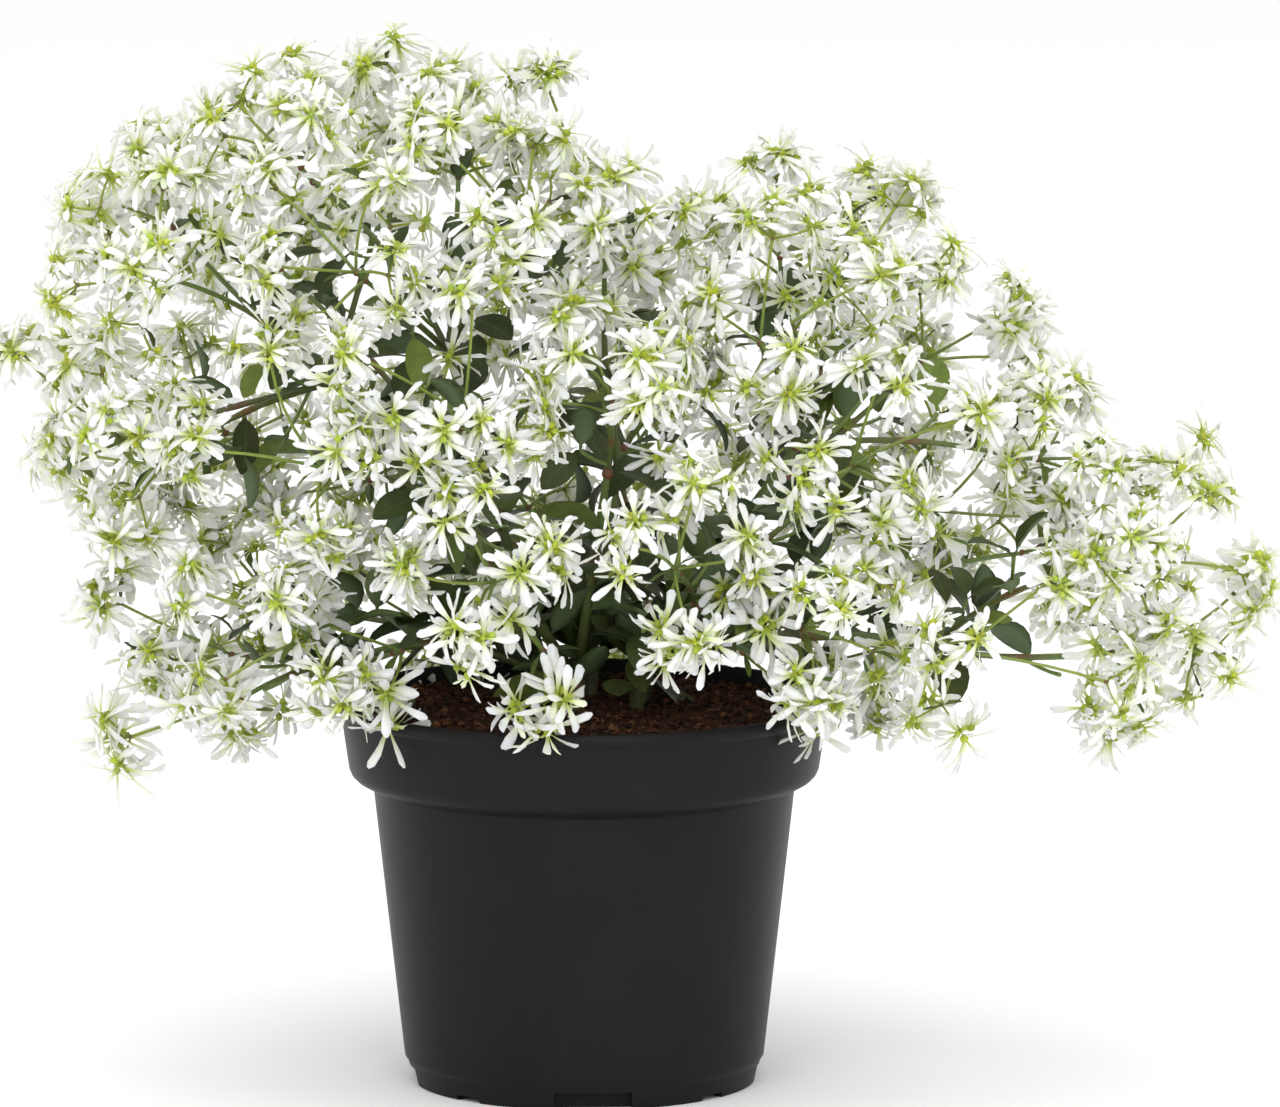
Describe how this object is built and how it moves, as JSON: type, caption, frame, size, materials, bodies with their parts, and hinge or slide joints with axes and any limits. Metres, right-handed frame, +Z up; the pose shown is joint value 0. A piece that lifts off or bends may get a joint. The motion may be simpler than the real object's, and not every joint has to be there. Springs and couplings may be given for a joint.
{
  "type": "potted flowering euphorbia",
  "caption": "Young potted Euphorbia hypericifolia in full flower: a round airy cloud of small white bracts over sparse green leaves and thin forking stems, in a black nursery pot.",
  "frame": {"origin": "on the pot's axis, in the plane of the surface that the pot stands on", "axes": "+Z up out of the soil; -Y towards the plant's front; +X to the viewer's right, along the crown's widest reach"},
  "size_m": [0.3416, 0.2224, 0.282],
  "materials": {
    "pot_plastic": "black moulded polypropylene, satin with a faint grain",
    "potting_soil": "loose red-brown coir and peat potting mix, matt and fibrous",
    "leaf_and_stem": "dark green leaf with paler veins, soft satin; pale green stems with red-brown knuckles",
    "flower_bract": "thin white petal-like bract, matt and slightly translucent, greenish at its base"
  },
  "bodies": {
    "root": {"pot": "pot_plastic", "soil": "potting_soil", "leafy_cutting_1": "leaf_and_stem", "leafy_cutting_2": "leaf_and_stem", "leafy_cutting_3": "leaf_and_stem", "leafy_cutting_4": "leaf_and_stem", "leafy_cutting_5": "leaf_and_stem", "flower_spray_01": "flower_bract", "flower_spray_02": "flower_bract", "flower_spray_03": "flower_bract", "flower_spray_04": "flower_bract", "flower_spray_05": "flower_bract", "flower_spray_06": "flower_bract", "flower_spray_07": "flower_bract", "flower_spray_08": "flower_bract", "flower_spray_09": "flower_bract", "flower_spray_10": "flower_bract", "flower_spray_11": "flower_bract", "flower_spray_12": "flower_bract", "flower_spray_13": "flower_bract", "flower_spray_14": "flower_bract", "flower_spray_15": "flower_bract", "flower_spray_16": "flower_bract", "flower_spray_17": "flower_bract", "flower_spray_18": "flower_bract", "flower_spray_19": "flower_bract", "flower_spray_20": "flower_bract", "flower_spray_21": "flower_bract", "flower_spray_22": "flower_bract", "flower_spray_23": "flower_bract", "flower_spray_24": "flower_bract", "flower_spray_25": "flower_bract", "flower_spray_26": "flower_bract", "flower_spray_27": "flower_bract", "flower_spray_28": "flower_bract", "flower_spray_29": "flower_bract", "flower_spray_30": "flower_bract", "flower_spray_31": "flower_bract", "flower_spray_32": "flower_bract", "flower_spray_33": "flower_bract", "flower_spray_34": "flower_bract", "flower_spray_35": "flower_bract", "flower_spray_36": "flower_bract", "flower_spray_37": "flower_bract", "flower_spray_38": "flower_bract", "flower_spray_39": "flower_bract", "flower_spray_40": "flower_bract", "flower_spray_41": "flower_bract", "flower_spray_42": "flower_bract", "flower_spray_43": "flower_bract", "flower_spray_44": "flower_bract", "flower_spray_45": "flower_bract", "flower_spray_46": "flower_bract"}
  },
  "joints": []
}
